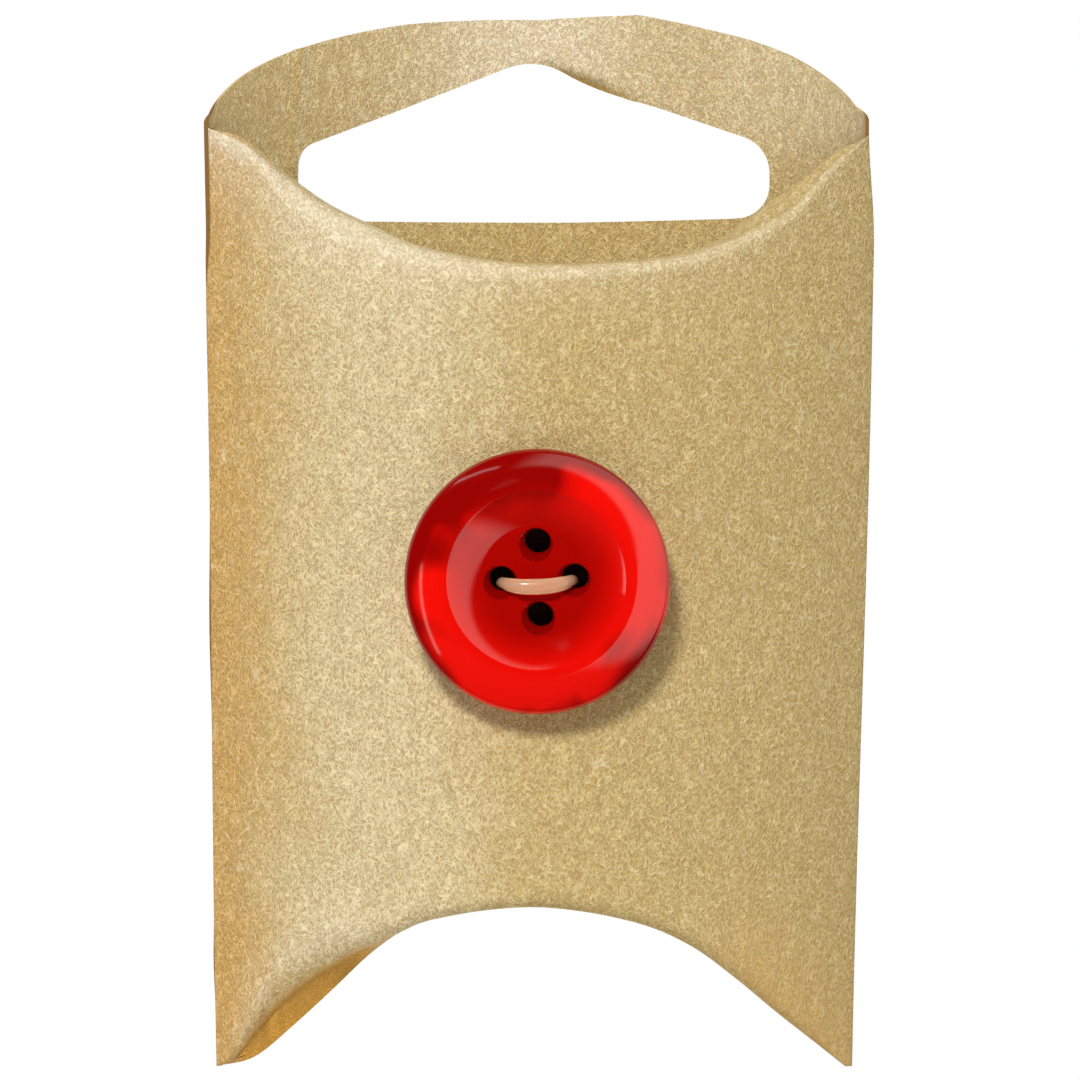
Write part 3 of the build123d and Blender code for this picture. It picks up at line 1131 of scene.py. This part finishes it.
@dataclass
class ButtonSeat:
    """Where the button sits on the crest of the front panel, in millimetres and radians."""

    crest: tuple[float, float, float] = (-0.25, -20.893, -46.15)
    lean: float = math.atan2(2.5, 85.4)
    turn: float = math.radians(2.0)

    def axes(self) -> np.ndarray:
        """The seat's three directions in the card's frame: across, up the card, and straight out of the leaning card.

        Returns:
            One direction to a row.
        """
        facing = np.array([0.0, -math.cos(self.lean), math.sin(self.lean)])
        across = np.array([math.cos(self.turn), 0.0, math.sin(self.turn)])
        return np.stack([across, np.cross(facing, across), facing])

    def lay(self, points: np.ndarray) -> np.ndarray:
        """Carries points from the card's frame back to the seat."""
        return (points - np.array(self.crest)) @ np.linalg.inv(self.axes())

    def ring(self, points: np.ndarray, flipped: bool) -> Patch:
        """Carries a closed grid from the seat to the card's frame. Its finish reads its place rather than a sheet.

        Args:
            points: rows by columns by three, in millimetres.
            flipped: whether its faces are turned round.

        Returns:
            The grid in the card's frame.
        """
        put = np.array(self.crest) + points @ self.axes()
        return Patch(put, points[..., :2].copy(), np.zeros(points.shape[:2]), flipped, closed=True)


@dataclass
class FourHoleButton:
    """A turned four-hole button: rounded back, full rim, a lip and a shallow well. Millimetres and radians."""

    seat: ButtonSeat
    radius: float = 11.5
    back_radius: float = 9.6
    crest_radius: float = 8.62
    lip_radius: float = 7.82
    floor_radius: float = 4.85
    lip_height: float = 4.2
    floor_height: float = 3.0
    wall_bend: float = 0.41
    lip_turn: tuple[tuple[float, float], ...] = ((0.06, 0.015), (0.2, 0.0))
    crest_turn: tuple[tuple[float, float], ...] = ((-0.12, -0.02), (0.0, -0.05))
    rim_fall: float = 0.8
    rim_bend: float = 0.42
    back_inset: float = 0.4
    girth_inset: float = 0.42
    girth_height: float = 1.05
    girth_start: float = 0.62
    girth_end: float = 0.75
    hole_spacing: float = 6.35
    hole_radius: float = 1.15
    flare_radius: float = 1.42
    flare_depth: float = 0.3
    flare_lead: float = 0.07
    flare_step: float = 0.02
    bore_lean: tuple[float, float] = (0.26, 0.46)
    lean_depth: float = 0.6
    columns: int = 192
    floor_rows: int = 9
    flare_rows: int = 7
    bore_rows: int = 8
    back_rows: int = 6

    def profile(self) -> np.ndarray:
        """Half section from the well's floor over the lip and rim to the back.

        The well's wall is a cone that steepens outward, the rim's top falls as a slow curve, the girth is a half
        ellipse and the back rounds in with a power of its run.

        Returns:
            Radii and heights.
        """
        t = np.linspace(0, 1, 19)
        wall = np.stack([
            self.floor_radius + (self.lip_radius - self.floor_radius) * t,
            self.floor_height + (self.lip_height - self.floor_height) * (t + self.wall_bend * (t**2 - t)),
        ], axis=-1)
        lip = np.array([self.lip_radius, self.lip_height]) + np.array(self.lip_turn)
        crest = np.array([self.crest_radius, self.lip_height]) + np.array(self.crest_turn)
        edge = self.radius - self.girth_inset
        fall = np.stack([
            self.crest_radius + (edge - self.crest_radius) * t,
            crest[-1, 1] - self.rim_fall * t - self.rim_bend * t**2.2,
        ], axis=-1)[1:]
        around = np.linspace(0, 1, 25)[1:]
        tilt = np.pi / 2 - self.girth_start - around * (np.pi - self.girth_start - self.girth_end)
        reach = np.cos(tilt) - math.cos(tilt[0])
        girth = np.stack([
            edge + self.girth_inset * reach / reach.max(),
            fall[-1, 1] + self.girth_height * (np.sin(tilt) - math.cos(self.girth_start)),
        ], axis=-1)
        under = np.linspace(0, 1, 9)[1:]
        back = np.stack([
            girth[-1, 0] + (self.back_radius - girth[-1, 0]) * under,
            girth[-1, 1] * (1 - under) ** 1.4,
        ], axis=-1)
        flat = np.array([(self.back_radius - self.back_inset, 0.0), (self.floor_radius, 0.0)])
        return np.concatenate([wall, lip, crest, fall, girth, back, flat])

    def body(self) -> Patch:
        """Turns the half section round the button's axis.

        Returns:
            The button outside its floor as one closed grid.
        """
        section = self.profile()
        angle = np.linspace(0, 2 * np.pi, self.columns, endpoint=False) - np.pi / 4
        points = np.stack([
            section[:, :1] * np.cos(angle),
            section[:, :1] * np.sin(angle),
            np.broadcast_to(section[:, 1:], (len(section), self.columns)),
        ], axis=-1)
        return self.seat.ring(points, flipped=True)

    def quarter(self, turn: float) -> Patch:
        """One quarter of the floor and back with its sewing hole.

        Straight lines run from the quarter's outline in to the hole, down the flare and the bore, and out again
        over the back to the same outline. The bore leans over its first part.

        Args:
            turn: bearing of the hole from the button's middle.

        Returns:
            The quarter as one closed grid.
        """
        arc = np.linspace(-np.pi / 4, np.pi / 4, self.columns // 4 + 1)
        spoke = np.linspace(1, 0, 15)[1:]
        side_up = self.floor_radius * spoke[:, None] * ray_of(np.pi / 4)
        side_down = (side_up * np.array([1, -1]))[::-1][1:]
        edge = np.concatenate([self.floor_radius * ray_of(arc), side_up, side_down])
        heart = np.array([self.hole_spacing / 2, 0.0])
        ray = ray_of(bearing_of(edge - heart))
        spin = np.array([[math.cos(turn), math.sin(turn)], [-math.sin(turn), math.cos(turn)]])
        lean = np.array(self.bore_lean)
        mouth = heart + self.flare_radius * ray
        lead = mouth + self.flare_lead * ray
        bore = heart + self.hole_radius * ray
        bottom = bore + lean @ spin.T
        inward = np.linspace(1, 0, self.floor_rows)[:, None, None]
        down = np.linspace(0, 1, self.flare_rows)
        outward = np.linspace(0, 1, self.back_rows + 1)[1:, None, None]
        flat = np.concatenate([
            lead + (edge - lead) * inward,
            mouth + (bore - mouth) * down[:, None, None],
            np.broadcast_to(bore, (self.bore_rows, *bore.shape)),
            bottom + (edge - bottom) * outward,
        ])
        height = np.concatenate([
            np.full(self.floor_rows, self.floor_height),
            self.floor_height - self.flare_step - (self.flare_depth - self.flare_step) * down**1.3,
            np.linspace(self.floor_height - self.flare_depth, 0, self.bore_rows + 1)[1:],
            np.zeros(self.back_rows),
        ])
        laid = flat @ spin
        deep = np.clip((self.floor_height - height) / self.lean_depth, 0, 1)[:, None, None]
        laid[self.floor_rows:-self.back_rows] += (lean * deep)[self.floor_rows:-self.back_rows]
        points = np.concatenate([laid, np.broadcast_to(height[:, None, None], (*flat.shape[:2], 1))], axis=-1)
        return self.seat.ring(points, flipped=False)

    def build(self) -> bpy.types.Object:
        """Joins the turned body and the four quarters and dresses the button, dull and darkened with painted shade
        where it was drilled.

        Returns:
            The button.
        """
        quarters = [self.quarter(turn * np.pi / 2) for turn in range(4)]
        button = mesh_of("four_hole_button", [self.body(), *quarters], 2e-6)
        button.data.set_sharp_from_angle(angle=math.radians(50))
        button.data.materials.append(PearlPolyester().build(np.array(self.seat.crest) * MM))
        button.data.materials.append(DrilledPolyester().build())
        middles = np.empty(len(button.data.polygons) * 3, dtype=np.float32)
        button.data.polygons.foreach_get("center", middles)
        laid = self.seat.lay(middles.reshape(-1, 3) / MM)
        near = np.linalg.norm(laid[:, :2], axis=1) < self.floor_radius
        sunk = near & (laid[:, 2] < self.floor_height - 0.01) & (laid[:, 2] > 0.01)
        slots = np.where(sunk, Finish.WORKED.value, Finish.OUTER.value)
        button.data.polygons.foreach_set("material_index", slots.astype(np.int32))
        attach(button, "root")
        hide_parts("button")
        return button


@dataclass
class PlasticStaple:
    """The moulded loop that holds the button, with a cross bar on each leg inside the card. Millimetres.

    The loop's path is its left half's shares of the spacing, the droop and the height, from the foot to the middle.
    """

    seat: ButtonSeat
    spacing: float = 6.35
    width: float = 1.2
    leg_width: float = 0.85
    depth: float = 0.8
    flash: float = 0.07
    top: float = 3.8
    droop: float = 0.5
    foot: float = -1.28
    path_across: tuple[float, ...] = (1, 1, 0.98, 0.9, 0.72, 0.4, 0)
    path_droop: tuple[float, ...] = (0, 0, 0.02, 0.2, 0.55, 0.9, 1)
    path_height: tuple[float, ...] = (0, 0.36, 0.62, 0.79, 0.915, 0.985, 1)
    fattening: Ramp = Ramp(1.0, 0.7, 0.05)
    bar_length: float = 6.0
    bar_width: float = 1.3
    bar_depth: float = 0.9
    bar_sink: float = 0.1
    bar_squareness: float = 0.55
    path_rows: int = 48
    sides: int = 40
    bar_rows: int = 24
    bar_sides: int = 24

    def strand(self) -> Patch:
        """Carries an oval with a thin flash line on each side up one leg, over and down the other.

        Across, up and out are smooth lines through the path's shares, mirrored for the right half. The oval swells
        from the legs to the middle, and each end closes on the path.

        Returns:
            The loop as one closed grid.
        """
        knots = np.linspace(0, 1, len(self.path_across))
        run = np.linspace(0, 1, self.path_rows + 1)
        across, sag, rise = [
            spline(run, knots, np.array(shares)) for shares in (self.path_across, self.path_droop, self.path_height)
        ]
        out = self.foot + (self.top - self.foot) * rise
        left = np.stack([-self.spacing / 2 * across, -self.droop * sag, out], axis=-1)
        path = np.concatenate([left, (left * np.array([-1, 1, 1]))[::-1][1:]])
        along = np.gradient(path, axis=0)
        along /= np.linalg.norm(along, axis=1, keepdims=True)
        side = np.array([0.0, 1.0, 0.0]) - along * along[:, 1:2]
        side /= np.linalg.norm(side, axis=1, keepdims=True)
        normal = np.cross(along, side)
        fat = self.fattening.at(np.abs(np.linspace(-1, 1, len(path))))
        width = (self.leg_width + (self.width - self.leg_width) * fat)[:, None, None]
        angle = np.linspace(0, 2 * np.pi, self.sides, endpoint=False)
        fin = (self.flash * np.sign(np.cos(angle)) * np.abs(np.cos(angle)) ** 40)[:, None]
        points = (
            path[:, None]
            + side[:, None] * (width / 2 * np.cos(angle)[:, None] + fin)
            + normal[:, None] * (self.depth / 2 * np.sin(angle)[:, None])
        )
        ends = np.broadcast_to(path[[0, -1], None], (2, len(angle), 3))
        return self.seat.ring(np.concatenate([ends[:1], points, ends[1:]]), flipped=False)

    def bar(self, side: int) -> Patch:
        """Cross bar of one leg: a rounded oblong carried along its length and drawn to a point at both ends.

        Args:
            side: -1 for the left leg, 1 for the right.

        Returns:
            The bar as one closed grid.
        """
        run = np.sin(np.linspace(-np.pi / 2, np.pi / 2, self.bar_rows + 1))[:, None]
        circle = ray_of(np.linspace(0, 2 * np.pi, self.bar_sides, endpoint=False)).T
        section = np.sign(circle) * np.abs(circle) ** self.bar_squareness
        fat = (1 - np.abs(run) ** 8) ** 0.5
        across = side * self.spacing / 2 + self.bar_width / 2 * fat * section[0]
        out = self.foot - self.bar_sink + self.bar_depth / 2 * fat * section[1]
        up = np.broadcast_to(self.bar_length / 2 * run, out.shape)
        return self.seat.ring(np.stack([across, up, out], axis=-1), flipped=True)

    def build(self) -> bpy.types.Object:
        """Joins the loop and its bars and dresses the staple.

        Returns:
            The staple.
        """
        staple = mesh_of("plastic_staple", [self.strand(), self.bar(-1), self.bar(1)], 1e-7)
        staple.data.materials.append(MouldedClear().build())
        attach(staple, "root")
        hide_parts("fastener")
        return staple


@dataclass
class Studio:
    """Pale floor, white background, soft lamps and the long level lens of the picture. Lengths in metres."""

    floor_level: float = -0.14
    floor_radius: float = 0.55
    camera_back: float = -0.7096
    camera_level: float = -0.0425
    focal: float = 264.49
    sensor: float = 36.0
    floor_columns: int = 64
    floor_rows: int = 8
    aim: tuple[float, float, float] = (0.0, -0.015, -0.045)
    window_way: tuple[float, float, float] = (0.66, -0.64, 0.38)
    lens_way: tuple[float, float, float] = (0.0, 1.0, -0.36)

    def floor(self) -> bpy.types.Object:
        """A round floor that fades into the background and is clear from below, a disc of rings.

        Returns:
            The floor.
        """
        angle = np.linspace(0, 2 * np.pi, self.floor_columns, endpoint=False)
        reach = np.linspace(0, self.floor_radius, self.floor_rows + 1)[:, None, None]
        flat = reach * ray_of(angle)
        ring = np.concatenate([flat, np.full((*flat.shape[:2], 1), self.floor_level)], axis=-1)
        floor = mesh_of("floor", [Patch(ring / MM, flat, np.zeros(flat.shape[:2]), True, True)], 1e-7)
        # Painted board: an even matt white that takes the shadow.
        paint = {"Base Color": linear("F2F1EE"), "Roughness": 0.9}
        material, tree, shader = new_material("pale_floor_painted", paint)
        place = add_node(tree, "TexCoord", out="Object")
        level = add_node(tree, "VectorMath", {0: place, 1: (1.0, 1.0, 0.0)}, operation="MULTIPLY")
        far = add_node(tree, "VectorMath", {0: level}, "Value", operation="LENGTH")
        verge = {"Value": far, "From Min": self.floor_radius * 0.25, "From Max": self.floor_radius * 0.95}
        fade = add_node(tree, "MapRange", verge, interpolation_type=SOFT)
        below = add_node(tree, "NewGeometry", out="Backfacing")
        fade = add_node(tree, "Math", {0: fade, 1: below}, operation="MAXIMUM")
        clear = add_node(tree, "BsdfTransparent")
        mixed = add_node(tree, "MixShader", {0: fade, 1: shader.outputs[0], 2: clear})
        tree.links.new(mixed, tree.nodes["Material Output"].inputs["Surface"])
        floor.data.materials.append(material)
        floor.visible_glossy = False
        return floor

    def world(self) -> None:
        """Background white to the eye and in gloss behind the object, with a dim room and a window before it."""
        world = bpy.data.worlds.new("studio")
        bpy.context.scene.world = world
        world.use_nodes = True
        tree = world.node_tree
        light = tree.nodes["Background"]
        way = add_node(tree, "TexCoord", out="Generated")
        back = add_node(tree, "SeparateXYZ", {0: way}, "Y")
        ray = add_node(tree, "LightPath").node.outputs
        glossy = ray["Is Glossy Ray"]
        window, aside = [
            add_node(tree, "VectorMath", {0: way, 1: toward}, "Value", operation="DOT_PRODUCT")
            for toward in (self.window_way, self.lens_way)
        ]
        ramps = (
            (back, -0.35, 0.35, 0.1, 0.62),
            (window, 0.5, 0.68, 0.0, 1.0),
            (aside, -0.87, -0.8, 0.0, 1.0),
            (back, 0.1, 0.5, 0.0, 1.0),
        )
        room, window, aside, behind = [
            add_node(
                tree, "MapRange", dict(zip(("Value", "From Min", "From Max", "To Min", "To Max"), ramp)),
                interpolation_type=SOFT,
            )
            for ramp in ramps
        ]
        dimmed = add_node(tree, "MapRange", {"Value": glossy, "To Min": 1.0, "To Max": 0.15})
        bright = add_node(tree, "MapRange", {"Value": glossy, "To Min": 0.35, "To Max": 1.5})
        room = add_node(tree, "Math", {0: room, 1: dimmed}, operation="MULTIPLY")
        bright = add_node(tree, "Math", {0: bright, 1: aside}, operation="MULTIPLY")
        lit = add_node(tree, "Math", {0: window, 1: bright, 2: room}, operation="MULTIPLY_ADD")
        tree.links.new(lit, light.inputs["Strength"])
        light.inputs["Color"].default_value = linear("FFF9EE")
        seen = add_node(tree, "Math", {0: glossy, 1: behind}, operation="MULTIPLY")
        for kind in ("Is Camera Ray", "Is Transmission Ray"):
            seen = add_node(tree, "Math", {0: seen, 1: ray[kind]}, operation="MAXIMUM")
        white = add_node(tree, "Background", {"Strength": 1.0, "Color": linear("FFFFFF")})
        mixed = add_node(tree, "MixShader", {0: seen, 1: light.outputs[0], 2: white})
        tree.links.new(mixed, tree.nodes["World Output"].inputs["Surface"])

    def lamp(
        self, name: str, place: tuple[float, float, float], size: tuple[float, float], power: float, colour: str,
        roll: float = 0.0,
    ) -> bpy.types.Object:
        """Hangs one soft lamp that looks at the middle of the card.

        Args:
            name: the lamp's name.
            place: where it hangs.
            size: its width and height.
            power: watts.
            colour: its tint.
            roll: turn about the way it looks, in degrees.

        Returns:
            The lamp.
        """
        data = bpy.data.lights.new(name, "AREA")
        data.shape = "RECTANGLE"
        data.size, data.size_y = size
        data.energy = power
        data.color = linear(colour)[:3]
        lamp = bpy.data.objects.new(name, data)
        lamp.location = place
        look = (Vector(self.aim) - Vector(place)).to_track_quat("-Z", "Y")
        lamp.rotation_euler = (look @ Quaternion((0.0, 0.0, 1.0), math.radians(roll))).to_euler()
        bpy.context.scene.collection.objects.link(lamp)
        return lamp

    def camera(self) -> bpy.types.Object:
        """Sets up the long level lens.

        Returns:
            The camera.
        """
        data = bpy.data.cameras.new("camera")
        data.lens = self.focal
        data.sensor_width = self.sensor
        data.clip_start, data.clip_end = 0.01, 20.0
        camera = bpy.data.objects.new("camera", data)
        camera.location = (0.0, self.camera_back, self.camera_level)
        camera.rotation_euler = (math.pi / 2, 0.0, 0.0)
        bpy.context.scene.collection.objects.link(camera)
        bpy.context.scene.camera = camera
        return camera

    def build(self) -> None:
        """Builds the floor, the world, a key lamp with no gloss of its own, two strips for the gloss, and the lens."""
        self.floor()
        self.world()
        key = self.lamp("key_left", (-0.23, -0.86, 0.62), (0.22, 0.22), 11.5, "FFFAF2")
        key.visible_glossy = False
        self.lamp("strip_left", (-0.694, -0.483, -0.2), (0.05, 0.6), 0.3, "FFE6DA")
        self.lamp("strip_above", (-0.42, -0.3, 0.6), (0.45, 0.016), 0.12, "FFFFFF", 35.0)
        self.camera()
        bpy.context.scene.view_settings.view_transform = "Standard"


def main() -> None:
    """Builds the card, the button and the staple in order, then the studio."""
    logging.basicConfig(level=logging.INFO, format="%(name)s: %(message)s")
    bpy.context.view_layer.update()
    seat = ButtonSeat()
    for piece in (PillowCard(), FourHoleButton(seat), PlasticStaple(seat)):
        made = piece.build()
        log.info("%s: %d faces", made.name, len(made.data.polygons))
    Studio().build()


if __name__ == "__main__":
    main()
